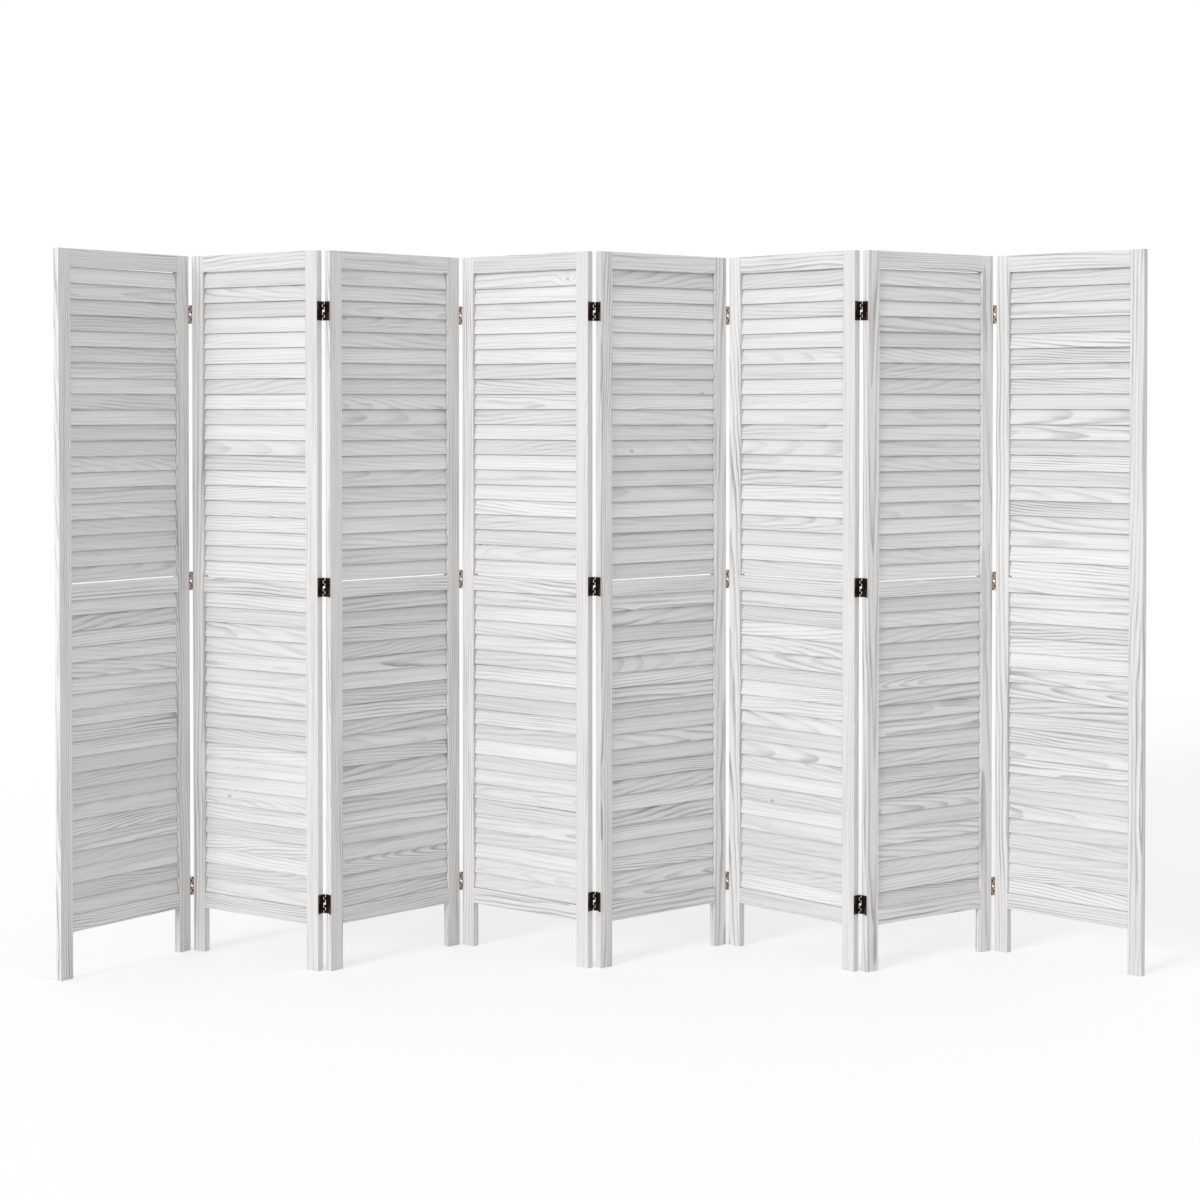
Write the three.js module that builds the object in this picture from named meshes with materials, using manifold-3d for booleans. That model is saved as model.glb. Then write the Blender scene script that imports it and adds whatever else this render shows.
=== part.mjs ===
// Freestanding folding screen: eight louvred wooden panels, joined edge to edge by small
// two-way hinges and standing in a zigzag. Millimetres, +Z up, front towards -Y.

import * as THREE from 'three';
import { mergeVertices } from 'three/addons/utils/BufferGeometryUtils.js';
import Module from 'manifold-3d';

const wasm = await Module();
wasm.setup();

// How each panel stands: its turn about Z in degrees, from the left end to the right end.
// A smaller turn than the panel before makes a valley between them, a larger one a ridge.
const panelTurns = [52, -34, 44, -39, 39, -46, 34, -42];

// One panel.
const panelWidth = 400;
const panelHeight = 1700;
const panelThickness = 18;
const stileWidth = 36;
const topRailHeight = 40;
const middleRailHeight = 36;
const bottomRailHeight = 38;
const legHeight = 108;
const middleRailFloor = 882;
const tenonLength = 20;

// Slats, each leaning with its lower edge forward, and the battens that hold their ends.
const slatPitchWanted = 36.8;
const slatOverlap = 1.4;
const slatDepth = 4.3;
const slatFrontInset = 3.2;
const slatBackInset = 2.8;
const upperField = { lift: 4, reveal: 39, topGap: 0.8 };
const lowerField = { lift: 1.5, reveal: 35.5, topGap: 0.6 };
const battenMargin = 0.5;
const grooveDepth = 6;

// Hinges: two leaves facing each other across the gap between two panels.
const hingeHeight = 45;
const barrelBreak = 5;
const leafThickness = 1;
const leafProud = 0.5;
const leafToBarrel = 1.1;
const barrelRadius = 1.7;
const axisProud = 1;
const linkThickness = 1;
const linkBend = 5;
const pinRadius = 0.8;
const pinClearance = 0.3;
const topHingeDrop = 142;
const middleHingeLift = 7;
const bottomHingeHeight = 158;
const barrelSides = 8;
const pinSides = 6;

// Space left between two pieces that meet.
const seatGap = 0.3;

const wood = { color: 0xdedcd8, roughness: 0.7, metalness: 0 };
const bronze = { color: 0x2e2420, roughness: 0.4, metalness: 0.9 };

// Solids.

function solidOf(geometry) {
  geometry.deleteAttribute('normal');
  geometry.deleteAttribute('uv');
  const merged = mergeVertices(geometry);
  const vertProperties = new Float32Array(merged.attributes.position.array);
  const triVerts = new Uint32Array(merged.index.array);
  return new wasm.Manifold(new wasm.Mesh({ numProp: 3, vertProperties, triVerts }));
}

function geometryOf(solid) {
  const mesh = solid.getMesh();
  const geometry = new THREE.BufferGeometry();
  geometry.setAttribute('position', new THREE.BufferAttribute(mesh.vertProperties, 3));
  geometry.setIndex(new THREE.BufferAttribute(mesh.triVerts, 1));
  return geometry;
}

function block(x, y, z) {
  const geometry = new THREE.BoxGeometry(x[1] - x[0], y[1] - y[0], z[1] - z[0]);
  geometry.translate((x[0] + x[1]) / 2, (y[0] + y[1]) / 2, (z[0] + z[1]) / 2);
  return solidOf(geometry);
}

function post(radius, sides, y, z) {
  const geometry = new THREE.CylinderGeometry(radius, radius, z[1] - z[0], sides);
  geometry.rotateX(Math.PI / 2);
  geometry.translate(0, y, (z[0] + z[1]) / 2);
  return solidOf(geometry);
}

// An outline drawn in Y and Z, drawn out along X.
function bar(outline, x) {
  const shape = new THREE.Shape(outline.map(([y, z]) => new THREE.Vector2(y, z)));
  const geometry = new THREE.ExtrudeGeometry(shape, { depth: x[1] - x[0], bevelEnabled: false });
  geometry.applyMatrix4(new THREE.Matrix4().makeBasis(
    new THREE.Vector3(0, 1, 0),
    new THREE.Vector3(0, 0, 1),
    new THREE.Vector3(1, 0, 0),
  ));
  geometry.translate(x[0], 0, 0);
  return solidOf(geometry);
}

function joined(solids) {
  return solids.reduce((whole, solid) => whole.add(solid));
}

// The panel's own frame: x from its left edge, y from the middle of its thickness with the
// front at -y, z from the floor.

const front = -panelThickness / 2;
const back = panelThickness / 2;
const innerLeft = stileWidth;
const innerRight = panelWidth - stileWidth;
const bottomRailTop = legHeight + bottomRailHeight;
const middleRailTop = middleRailFloor + middleRailHeight;
const topRailFloor = panelHeight - topRailHeight;

const slatRun = panelThickness - slatFrontInset - slatBackInset - slatDepth;
const battenFront = front + slatFrontInset - battenMargin;
const battenBack = back - slatBackInset + battenMargin;

function railSolid(floor, top) {
  const x = [innerLeft - tenonLength, innerRight + tenonLength];
  return block(x, [front, back], [floor, top]);
}

// A groove for the battens runs down the inner edge of each stile, from rail to rail, and
// notches the ends of the middle rail.
function grooveSolid(xFrom, xTo) {
  const y = [battenFront - seatGap, battenBack + seatGap];
  return block([xFrom, xTo], y, [bottomRailTop, topRailFloor]);
}

function frameGeometry() {
  const y = [front, back];
  const z = [0, panelHeight];
  const frame = joined([
    block([0, innerLeft], y, z),
    block([innerRight, panelWidth], y, z),
    railSolid(legHeight, bottomRailTop),
    railSolid(middleRailFloor, middleRailTop),
    railSolid(topRailFloor, panelHeight),
  ]);
  const leftGroove = grooveSolid(innerLeft - grooveDepth, innerLeft + seatGap);
  const rightGroove = grooveSolid(innerRight - seatGap, innerRight + grooveDepth);
  return geometryOf(frame.subtract(leftGroove).subtract(rightGroove));
}

// A slat is level along its top and bottom edges, and leans back between them.
function slatSolid(floor, rise, lean) {
  const y = front + slatFrontInset;
  const section = [
    [y, floor],
    [y + slatDepth, floor],
    [y + lean + slatDepth, floor + rise],
    [y + lean, floor + rise],
  ];
  return bar(section, [innerLeft - grooveDepth / 2, innerRight + grooveDepth / 2]);
}

// Slats share out a field between two rails evenly, as near to the wanted pitch as a whole
// number allows. The top one is ripped narrower where it has to pass under its rail.
function fieldSlats(floor, top, field) {
  const span = top - floor - field.lift - field.reveal;
  const steps = Math.max(1, Math.round(span / slatPitchWanted));
  const pitch = span / steps;
  const fullRise = pitch + slatOverlap;
  const slats = [];
  for (let i = 0; i <= steps; i += 1) {
    const slatFloor = floor + field.lift + i * pitch;
    const rise = Math.min(fullRise, top - field.topGap - slatFloor);
    slats.push(slatSolid(slatFloor, rise, slatRun * rise / fullRise));
  }
  return slats;
}

function battenSolid(xFrom, xTo) {
  const z = [bottomRailTop + seatGap, topRailFloor - seatGap];
  return block([xFrom, xTo], [battenFront, battenBack], z);
}

function louvreGeometry() {
  return geometryOf(joined([
    battenSolid(innerLeft - grooveDepth + seatGap, innerLeft),
    battenSolid(innerRight, innerRight + grooveDepth - seatGap),
    ...fieldSlats(bottomRailTop, middleRailFloor, lowerField),
    ...fieldSlats(middleRailTop, topRailFloor, upperField),
  ]));
}

// One hinge half, in the hinge's own frame with its centre at the origin. Its height is shared
// out in six slots, three on each side of a break in the middle. The leaf is on the left. Its
// upper slots curl into a barrel at the front and into two knuckles behind, in the first and
// third. From the front barrel's first slot a link runs back and down to a bored knuckle in the
// second slot below, which turns on the other half's pin.

const axisDepth = panelThickness / 2 + axisProud;
const leafReach = panelThickness / 2 + leafProud;
const leafInner = -barrelRadius - leafToBarrel;
const leafOuter = leafInner - leafThickness;
const panelGap = 2 * (seatGap - leafOuter);
const slotHeight = (hingeHeight - barrelBreak) / 6;

// The heights between two slot lines, counted from the break: up where they are positive.
function slotLines(from, to) {
  const start = Math.sign(from + to) * barrelBreak / 2;
  return [start + from * slotHeight, start + to * slotHeight];
}

function slots(from, to) {
  const [low, high] = slotLines(from, to);
  return [low + seatGap / 2, high - seatGap / 2];
}

function clearOfSlots(from, to) {
  const [low, high] = slotLines(from, to);
  return [low - seatGap / 2, high + seatGap / 2];
}

// The leaf seen from above, with a barrel curled from each of its ends.
function leafSolid() {
  const outline = new THREE.Shape();
  outline.moveTo(leafOuter, -leafReach);
  outline.lineTo(leafInner, -leafReach);
  outline.absarc(0, -axisDepth, barrelRadius, Math.PI, Math.PI * 2.5);
  outline.lineTo(leafInner, barrelRadius - axisDepth);
  outline.lineTo(leafInner, axisDepth - barrelRadius);
  outline.absarc(0, axisDepth, barrelRadius, -Math.PI / 2, Math.PI);
  outline.lineTo(leafInner, leafReach);
  outline.lineTo(leafOuter, leafReach);
  const reach = hingeHeight / 2 - seatGap / 2;
  // A curve is drawn with twice this many steps, and each barrel's arc is three quarters round.
  const curveSegments = Math.round(barrelSides * 3 / 8);
  const leaf = new THREE.ExtrudeGeometry(outline, { depth: 2 * reach, bevelEnabled: false, curveSegments });
  leaf.translate(0, 0, -reach);
  return solidOf(leaf);
}

// The link lies on its own leaf's side of the barrels, so that two links can pass each other.
function linkSolid() {
  const [start, end] = [slots(0, 1), slots(-2, -1)];
  const strip = bar([
    [-axisDepth, start[1]],
    [-axisDepth, start[0]],
    [-linkBend, start[0]],
    [linkBend, end[0]],
    [axisDepth, end[0]],
    [axisDepth, end[1]],
    [linkBend, end[1]],
    [-linkBend, start[1]],
  ], [-barrelRadius, linkThickness - barrelRadius]);
  const boreRadius = pinRadius / Math.cos(Math.PI / pinSides) + pinClearance;
  const bore = post(boreRadius, pinSides, axisDepth, clearOfSlots(-2, -1));
  return strip.add(post(barrelRadius, barrelSides, axisDepth, end)).subtract(bore);
}

function hingeHalfSolid() {
  const beyond = axisDepth + 2 * barrelRadius;
  const x = [leafInner, 2 * barrelRadius];
  const lowerBarrels = block(x, [-beyond, beyond], [-hingeHeight, barrelBreak / 2 + seatGap / 2]);
  const linkPlace = block(x, [0, beyond], clearOfSlots(1, 2));
  const leaf = leafSolid().subtract(lowerBarrels).subtract(linkPlace);
  const pin = post(pinRadius, pinSides, axisDepth, slots(0.5, 2.5));
  return joined([leaf, linkSolid(), pin]);
}

// The same half serves four places: left or right of a ridge, left or right of a valley.
const halfTurns = {
  ridge: { left: [0, 0, 0], right: [0, Math.PI, 0] },
  valley: { left: [Math.PI, 0, 0], right: [0, 0, Math.PI] },
};

const hingeHeights = {
  top: panelHeight - topHingeDrop,
  middle: middleRailFloor + middleRailHeight / 2 + middleHingeLift,
  bottom: bottomHingeHeight,
};

// Assembly.

const frameShape = frameGeometry();
const louvreShape = louvreGeometry();
const hingeShape = geometryOf(hingeHalfSolid());

function piece(name, geometry, finish) {
  const mesh = new THREE.Mesh(geometry, new THREE.MeshStandardMaterial(finish));
  mesh.name = name;
  return mesh;
}

function jointKind(index) {
  return panelTurns[index + 1] < panelTurns[index] ? 'valley' : 'ridge';
}

function hingeHalves(index, side) {
  const x = side === 'left' ? panelWidth + panelGap / 2 : -panelGap / 2;
  return Object.entries(hingeHeights).map(([height, z]) => {
    const name = `hinge_${index + 1}_${index + 2}_${height}_${side}_half`;
    const half = piece(name, hingeShape, bronze);
    half.position.set(x, 0, z);
    half.rotation.set(...halfTurns[jointKind(index)][side]);
    return half;
  });
}

function panel(index) {
  const group = new THREE.Group();
  group.add(piece(`panel_${index + 1}_frame`, frameShape, wood));
  group.add(piece(`panel_${index + 1}_louvres`, louvreShape, wood));
  if (index > 0) {
    group.add(...hingeHalves(index - 1, 'right'));
  }
  if (index < panelTurns.length - 1) {
    group.add(...hingeHalves(index, 'left'));
  }
  group.rotation.z = THREE.MathUtils.degToRad(panelTurns[index]);
  return group;
}

// Each panel after the first hangs on the one before: their hinge axes coincide, behind the
// panels at a ridge and before them at a valley.
function placeBeside(group, previous, kind) {
  const y = kind === 'ridge' ? axisDepth : -axisDepth;
  const up = new THREE.Vector3(0, 0, 1);
  const along = new THREE.Vector3(panelWidth + panelGap / 2, y, 0);
  const axis = along.applyAxisAngle(up, previous.rotation.z).add(previous.position);
  const reach = new THREE.Vector3(-panelGap / 2, y, 0).applyAxisAngle(up, group.rotation.z);
  group.position.copy(axis.sub(reach));
}

const screen = new THREE.Group();
panelTurns.forEach((turn, index) => {
  const group = panel(index);
  if (index > 0) {
    placeBeside(group, screen.children[index - 1], jointKind(index - 1));
  }
  screen.add(group);
});

// The origin is on the floor under the middle of the whole screen.
screen.updateMatrixWorld(true);
const extent = new THREE.Box3().setFromObject(screen, true);
const middle = extent.getCenter(new THREE.Vector3());
screen.position.set(-middle.x, -middle.y, -extent.min.z);

export default screen;
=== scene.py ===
# %% [markdown]
# # A louvred folding screen
# Eight whitewashed wooden panels hang edge to edge on small bronze hinges and stand in a zigzag.
# The mechanical model is loaded first and is never moved: it says where every panel and hinge is,
# and each piece made here rides on one of its bodies, so that the screen still folds.

# %% The frame
import itertools
import math
import random

import bmesh
import bpy
from mathutils import Matrix, Vector


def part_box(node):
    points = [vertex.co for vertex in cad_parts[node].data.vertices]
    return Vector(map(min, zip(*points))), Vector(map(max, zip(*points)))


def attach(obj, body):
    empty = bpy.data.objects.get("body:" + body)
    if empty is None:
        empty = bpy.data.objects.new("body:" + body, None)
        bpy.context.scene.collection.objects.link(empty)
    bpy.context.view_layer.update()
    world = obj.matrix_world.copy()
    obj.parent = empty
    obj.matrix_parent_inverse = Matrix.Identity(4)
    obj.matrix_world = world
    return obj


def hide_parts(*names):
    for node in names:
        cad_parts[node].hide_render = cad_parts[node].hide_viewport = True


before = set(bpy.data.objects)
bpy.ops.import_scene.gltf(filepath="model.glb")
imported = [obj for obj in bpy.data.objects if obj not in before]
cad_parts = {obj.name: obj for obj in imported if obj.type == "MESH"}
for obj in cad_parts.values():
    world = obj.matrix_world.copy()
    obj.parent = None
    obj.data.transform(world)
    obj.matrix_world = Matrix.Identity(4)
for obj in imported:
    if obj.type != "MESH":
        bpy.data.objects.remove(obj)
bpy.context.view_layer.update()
mm = 0.001
tiny = 0.05 * mm

# %% [markdown]
# ## Where each panel stands
# A panel is easiest to build as if it stood alone: x from its left edge, y back from the middle of
# its thickness, z up from the floor. Its place could be typed in again, but then it could drift from
# the model. Instead each panel's footprint is read off its frame node: of the four corners seen from
# above, the two with the least x are its left edge, and in each pair the lesser y is its front.

# %% Panel places
def footprint(node):
    """The corners of an upright board from above: left front, left back, right front, right back."""
    points = {(round(v.co.x, 6), round(v.co.y, 6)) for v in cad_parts[node].data.vertices}
    across = sorted(points)
    back = sorted(points, key=lambda point: point[1])
    corners = sorted([across[0], across[-1], back[0], back[-1]])
    pairs = [sorted(pair, key=lambda point: point[1]) for pair in (corners[:2], corners[2:])]
    return [Vector((*point, 0)) for pair in pairs for point in pair]


def panel_place(number):
    """The matrix that takes a panel's own coordinates to the frame's."""
    left_front, left_back, right_front, right_back = footprint(f"panel_{number}_frame")
    origin = (left_front + left_back) / 2
    x = ((right_front + right_back) / 2 - origin).normalized()
    y = (left_back - left_front).normalized()
    turn = Matrix((x, y, x.cross(y))).transposed()
    return Matrix.Translation(origin) @ turn.to_4x4()


panels = range(1, 1 + sum(name.endswith("_frame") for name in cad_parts))
places = {number: panel_place(number) for number in panels}
for number, place in places.items():
    print(f"panel {number} turns {math.degrees(place.to_euler().z):.1f} degrees")

# %% [markdown]
# ## The panel's own sizes
# All eight panels are alike, so one is measured. The corners of its frame node lie at only seven
# heights, which are the floor, the rails' edges and the top.

# %% Panel sizes
def own_points(node, number):
    """A node's corners in its panel's own coordinates."""
    back_to_panel = places[number].inverted()
    return [back_to_panel @ vertex.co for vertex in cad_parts[node].data.vertices]


def levels(points, axis):
    """The different places along one axis at which a piece has corners, in order."""
    found = []
    for value in sorted(point[axis] for point in points):
        if not found or value - found[-1] > tiny:
            found.append(value)
    return found


frame_points = own_points("panel_1_frame", 1)
panel_width = levels(frame_points, 0)[-1]
front, back = levels(frame_points, 1)[0], levels(frame_points, 1)[-1]
(_, leg_top, bottom_rail_top, middle_rail_floor,
 middle_rail_top, top_rail_floor, panel_height) = levels(frame_points, 2)
print(f"panel {panel_width:.3f} x {panel_height:.3f} m, {(back - front) / mm:.0f} mm thick")

# %% [markdown]
# ## Where the slats are
# The louvre node holds two battens and forty slats. The battens stand furthest forward and back,
# and their inner faces are flush with the stiles. Every slat's lower front edge is at one depth,
# which gives the floors, and its other level is its top. A slat that is ripped narrower to pass under
# its rail has a smaller rise, so slats of one height form a run. The topmost slat is kept apart.

# %% Slat sizes
louvre_points = own_points("panel_1_louvres", 1)
batten_left, stile_width = levels(louvre_points, 0)[:2]
depths = levels(louvre_points, 1)
batten_front, slat_front, slat_heel = depths[:3]
slat_back, batten_back = depths[-2:]
slat_depth = slat_heel - slat_front
batten_floor, batten_top = levels(louvre_points, 2)[0], levels(louvre_points, 2)[-1]

slat_points = [p for p in louvre_points if batten_front + tiny < p.y < batten_back - tiny]
slat_floors = levels([p for p in slat_points if p.y < slat_front + tiny], 2)
slat_tops = [z for z in levels(slat_points, 2) if all(abs(z - floor) > tiny for floor in slat_floors)]
full_rise = slat_tops[0] - slat_floors[0]
full_lean = slat_back - slat_heel
slat_pitch = slat_floors[1] - slat_floors[0]


def rise_of(slat):
    return round(slat[1] - slat[0], 4)


def slat_runs():
    """(lowest floor, number of slats, their rise) for each run of slats of one height."""
    slats = list(zip(slat_floors, slat_tops))
    runs = [list(run) for _, run in itertools.groupby(slats[:-1], key=rise_of)] + [slats[-1:]]
    return [(run[0][0], len(run), rise_of(run[0])) for run in runs]


print(len(slat_floors), "slats at a pitch of", round(slat_pitch / mm, 2), "mm, in runs", slat_runs())

# %% [markdown]
# ## Wires and nodes
# Both materials and repeated shapes are built from nodes. Written out one link at a time they are
# hard to read, so a small class wraps a node's output: adding or multiplying two of them adds the
# Math node that does it. Every other node comes from one method, which takes the node's type, then
# its settings, then values or wires for its sockets.

# %% Node helpers
class Wire:
    """One output of a node. Arithmetic on wires and numbers adds Math nodes."""

    def __init__(self, graph, socket):
        self.graph = graph
        self.socket = socket

    def beside(self, name):
        """Another output of the same node."""
        return Wire(self.graph, self.graph.find(self.socket.node.outputs, name))

    def __add__(self, other):
        return self.graph.maths("ADD", self, other)

    def __radd__(self, other):
        return self.graph.maths("ADD", other, self)

    def __sub__(self, other):
        return self.graph.maths("SUBTRACT", self, other)

    def __rsub__(self, other):
        return self.graph.maths("SUBTRACT", other, self)

    def __mul__(self, other):
        return self.graph.maths("MULTIPLY", self, other)

    def __rmul__(self, other):
        return self.graph.maths("MULTIPLY", other, self)

    def __truediv__(self, other):
        return self.graph.maths("DIVIDE", self, other)

    def __pow__(self, other):
        return self.graph.maths("POWER", self, other)


class Graph:
    """Adds nodes to one node tree."""

    def __init__(self, tree):
        self.tree = tree
        tree.nodes.clear()

    @staticmethod
    def find(sockets, name):
        """A socket by its place, or the first one in use with that name."""
        if isinstance(name, int):
            return sockets[name]
        return next(s for s in sockets if s.enabled and name in (s.identifier, s.name))

    def add(self, kind, settings=None, sockets=None, out=0):
        """A new node of that kind. Returns one of its outputs."""
        node = self.tree.nodes.new(kind)
        for name, value in (settings or {}).items():
            setattr(node, name, value)
        for name, value in (sockets or {}).items():
            socket = self.find(node.inputs, name)
            if isinstance(value, Wire):
                self.tree.links.new(value.socket, socket)
            else:
                socket.default_value = value
        return Wire(self, self.find(node.outputs, out)) if node.outputs else node

    def maths(self, operation, *values):
        return self.add("ShaderNodeMath", {"operation": operation}, dict(enumerate(values)))


def new_material(name):
    """An empty material and its graph."""
    material = bpy.data.materials.new(name)
    material.use_nodes = True
    return material, Graph(material.node_tree)

# %% [markdown]
# ## Growing wood
# Planks look real when their grain could have come out of a tree. A picture wrapped on a plank can't
# do that, because it breaks at every edge. So the wood is solid: each plank is a cut through a log
# of nested rings. A plank carries three attributes. The first, grain, is where a point is on the
# plank: along it, across it and into it. The second, luck, is three random numbers for the whole
# plank, which say where in the log it was sawn. A plank sawn beside the pith shows tall arches, and
# one sawn far from it shows straight lines. The third, figure, says how bold the lines are.

# %% Parts of the wood
def plank_place(graph):
    """Along, across and into the plank, and its three random numbers, each as a wire."""
    parts = []
    for name in ("grain", "luck"):
        vector = graph.add("ShaderNodeAttribute", {"attribute_name": name}, out="Vector")
        x = graph.add("ShaderNodeSeparateXYZ", sockets={"Vector": vector}, out="X")
        parts += [x, x.beside("Y"), x.beside("Z")]
    return parts


def noise(graph, x, y, z, detail=2.0, roughness=0.5):
    """Smooth noise from 0 to 1. The numbers are already scaled, so one unit is one lump."""
    place = graph.add("ShaderNodeCombineXYZ", sockets={"X": x, "Y": y, "Z": z})
    sockets = {"Vector": place, "Scale": 1.0, "Detail": detail, "Roughness": roughness}
    return graph.add("ShaderNodeTexNoise", sockets=sockets)


def step(graph, value, low, high):
    """0 below low, 1 above high and a smooth ramp between. With low above high it falls instead."""
    sockets = {"Value": value, "From Min": low, "From Max": high}
    return graph.add("ShaderNodeMapRange", {"interpolation_type": "SMOOTHSTEP"}, sockets)


def knots(graph, along, across):
    """Distance to the nearest knot. Knots lie about half a metre apart in the log."""
    place = graph.add("ShaderNodeCombineXYZ", sockets={"X": along * 2.1, "Y": across * 3.4})
    settings = {"voronoi_dimensions": "2D"}
    return graph.add("ShaderNodeTexVoronoi", settings, {"Vector": place, "Scale": 1.0})

# %% [markdown]
# ## Whitewashed wood
# The screen is pale softwood under a thin wash of white. The wash fills the soft early wood and
# leaves the hard late wood greyer, so the rings show as fine grey lines, bold on some planks and
# faint on others. Under them lie soft streaks, finer fibres, and pores that can be seen from close
# by. Where the wash is thicker, all of these fade. One plank in four has knots. Each plank is a
# little lighter or darker than the next, which is what makes a wall of slats look like wood. The
# same lines lie a hair lower than the wood between them and are rougher. A slat also has painted
# shade in its colour: a painted shadow line at each end, where it enters the notch that holds it,
# and a painted shadow that greys its front towards the top and its back towards the bottom, where
# the next slat overlaps it.

# %% Whitewashed wood
pale_wash = (0.885, 0.877, 0.864, 1.0)
# grey of the grain lines; on slats it is also the colour of the painted shade
grain_and_painted_shade_grey = (0.36, 0.355, 0.35, 1.0)
beside_pith = 150 * mm
pith_wander = 45 * mm
nearest_pith = 12 * mm
under_spread = 45 * mm
ring_wobble = 7 * mm
knot_swell = 12 * mm
ring_share, streak_share, fibre_share, pore_share, heart_share = 0.55, 0.22, 0.2, 0.08, 0.4
plank_tone = 0.96
patch_spread = 0.1
# width of the painted shadow line at each slat end, by its notch
painted_notch_shadow_width = 1.4 * mm
# widths of the painted shadow line and the soft painted shade where the next slat overlaps a slat
painted_shadow_line_width = 2.5 * mm
painted_soft_shade_width = 8 * mm
# strengths of the painted shadows: at the notch, the overlap's shadow line and its soft shade
painted_notch_shadow_strength, painted_shadow_line_strength, painted_soft_shade_strength = 1.2, 0.3, 0.09
slat_slope = full_lean / full_rise


def whitewashed_wood(name, ring_spacing, taper, contrast, spread, notch=None, lap=None):
    """ring_spacing is in metres. taper is how far the rings lean along the plank, contrast how grey
    the lines are, and spread how far planks differ in tone. notch and lap are how far from its middle
    a slat enters its notches and goes behind the slat above; painted shade is laid just inside each."""
    material, graph = new_material(name)
    x, y, z, luck_a, luck_b, luck_c = plank_place(graph)

    along = x + luck_a * 9.0
    slow = noise(graph, along * 1.6, y * 8.0 + luck_b * 5.0, z * 8.0)
    quick = noise(graph, along * 7.0, y * 26.0, z * 26.0 + luck_b * 9.0)
    knot = knots(graph, along, y + luck_c * 13.0)
    knotty = step(graph, graph.maths("FRACT", luck_a * 5.1), 0.74, 0.76)
    swirl = step(graph, knot, 0.11, 0.0) * knotty

    from_pith = y + (luck_b - 0.5) * beside_pith + (slow - 0.5) * pith_wander
    under_pith = z + nearest_pith + luck_c * under_spread
    radius = (from_pith * from_pith + under_pith * under_pith) ** 0.5
    radius = radius + x * (luck_c - 0.5) * taper + (quick - 0.5) * ring_wobble + swirl * knot_swell
    rings = radius / (ring_spacing * (luck_a * 0.9 + 0.55))
    year = graph.maths("FRACT", rings)
    late_wood = step(graph, year, 0.4, 0.9) * step(graph, year, 1.0, 0.92)
    bold = graph.add("ShaderNodeAttribute", {"attribute_name": "figure"}, out="Fac")
    patches = step(graph, noise(graph, along * 3.5, y * 45.0, z * 45.0 + luck_b * 6.0), 0.35, 0.7)
    figure = late_wood * (0.3 + 0.7 * patches) * (0.25 + 0.75 * bold)

    streaks = step(graph, noise(graph, along * 3.2, y * 260.0, z * 260.0, 3.0), 0.42, 0.75)
    fibres = noise(graph, along * 16.0, y * 900.0, z * 900.0, 3.0, 0.65)
    pores = step(graph, noise(graph, along * 70.0, y * 3200.0, z * 3200.0), 0.68, 0.78)
    thin_wash = step(graph, noise(graph, along * 2.6, y * 22.0, z * 22.0 + luck_a * 4.0), 0.25, 0.7)
    shown = thin_wash * 0.5 + 0.5

    lines = figure * ring_share + streaks * streak_share
    lines = lines + (fibres - 0.4) * fibre_share + pores * pore_share
    heart = step(graph, knot, 0.02, 0.006) * knotty
    grey = (lines * shown + heart * heart_share) * contrast
    if notch:
        # painted shadow line at each end of the slat, by its notch
        from_middle = graph.maths("ABSOLUTE", x)
        grey = grey + step(graph, from_middle, notch - painted_notch_shadow_width, notch - painted_notch_shadow_width / 2) * painted_notch_shadow_strength
        # painted shade where the next slat overlaps: towards the top on the front, towards the bottom
        # on the back
        toward_painted_shade = graph.maths("SIGN", y * slat_slope - z) * y
        grey = grey + step(graph, toward_painted_shade, lap - painted_soft_shade_width, lap) * painted_soft_shade_strength
        grey = grey + step(graph, toward_painted_shade, lap - painted_shadow_line_width, lap - painted_shadow_line_width / 2) * painted_shadow_line_strength
    grey = graph.maths("MINIMUM", grey, 1.0)
    sockets = {"Factor": grey, "A": pale_wash, "B": grain_and_painted_shade_grey}
    colour = graph.add("ShaderNodeMix", {"data_type": "RGBA"}, sockets, out="Result")
    tint = plank_tone + (luck_b - 0.5) * spread + (slow - 0.5) * patch_spread
    sockets = {"Vector": colour, "Scale": tint}
    colour = graph.add("ShaderNodeVectorMath", {"operation": "SCALE"}, sockets, out="Vector")

    height = 1.0 - late_wood * 0.5 - fibres * 0.5 - pores
    sockets = {"Strength": 0.35, "Distance": 0.2 * mm, "Height": height}
    normal = graph.add("ShaderNodeBump", sockets=sockets)
    sockets = {"Base Color": colour, "Roughness": 0.58 + lines * 0.25, "Normal": normal}
    sockets["Specular IOR Level"] = 0.35
    shader = graph.add("ShaderNodeBsdfPrincipled", sockets=sockets)
    graph.add("ShaderNodeOutputMaterial", sockets={"Surface": shader})
    return material


# where the painted shadows on slats lie: at the notches, and where each slat goes behind the next
in_notch = panel_width / 2 - stile_width
behind_next = slat_pitch - full_rise / 2
board_wood = whitewashed_wood("whitewashed_board", 7 * mm, 0.07, 1.6, 0.06)
slat_wood = whitewashed_wood("whitewashed_slat", 7 * mm, 0.16, 1.25, 0.17, in_notch, behind_next)
print("made", board_wood.name, "and", slat_wood.name)

# %% [markdown]
# ## Planks
# Stiles, rails and battens are planed planks with their sharp edges taken off. A bevelled box is
# enough for that. What matters is that the box then gets its grain: the attribute runs along the
# plank, so a rail's grain lies across the panel and a stile's stands up. Most of these boards are
# boldly figured.

# %% Making a plank
eased_edge = 0.9 * mm
edge_steps = 2
dice = random.Random(8)


def in_scene(name, data):
    """A new object of the scene that shows a mesh, a lamp or a camera."""
    item = bpy.data.objects.new(name, data)
    bpy.context.scene.collection.objects.link(item)
    return item


def mesh_of(shape, name):
    """A finished bmesh as a mesh."""
    mesh = bpy.data.meshes.new(name)
    shape.to_mesh(mesh)
    shape.free()
    return mesh


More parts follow.
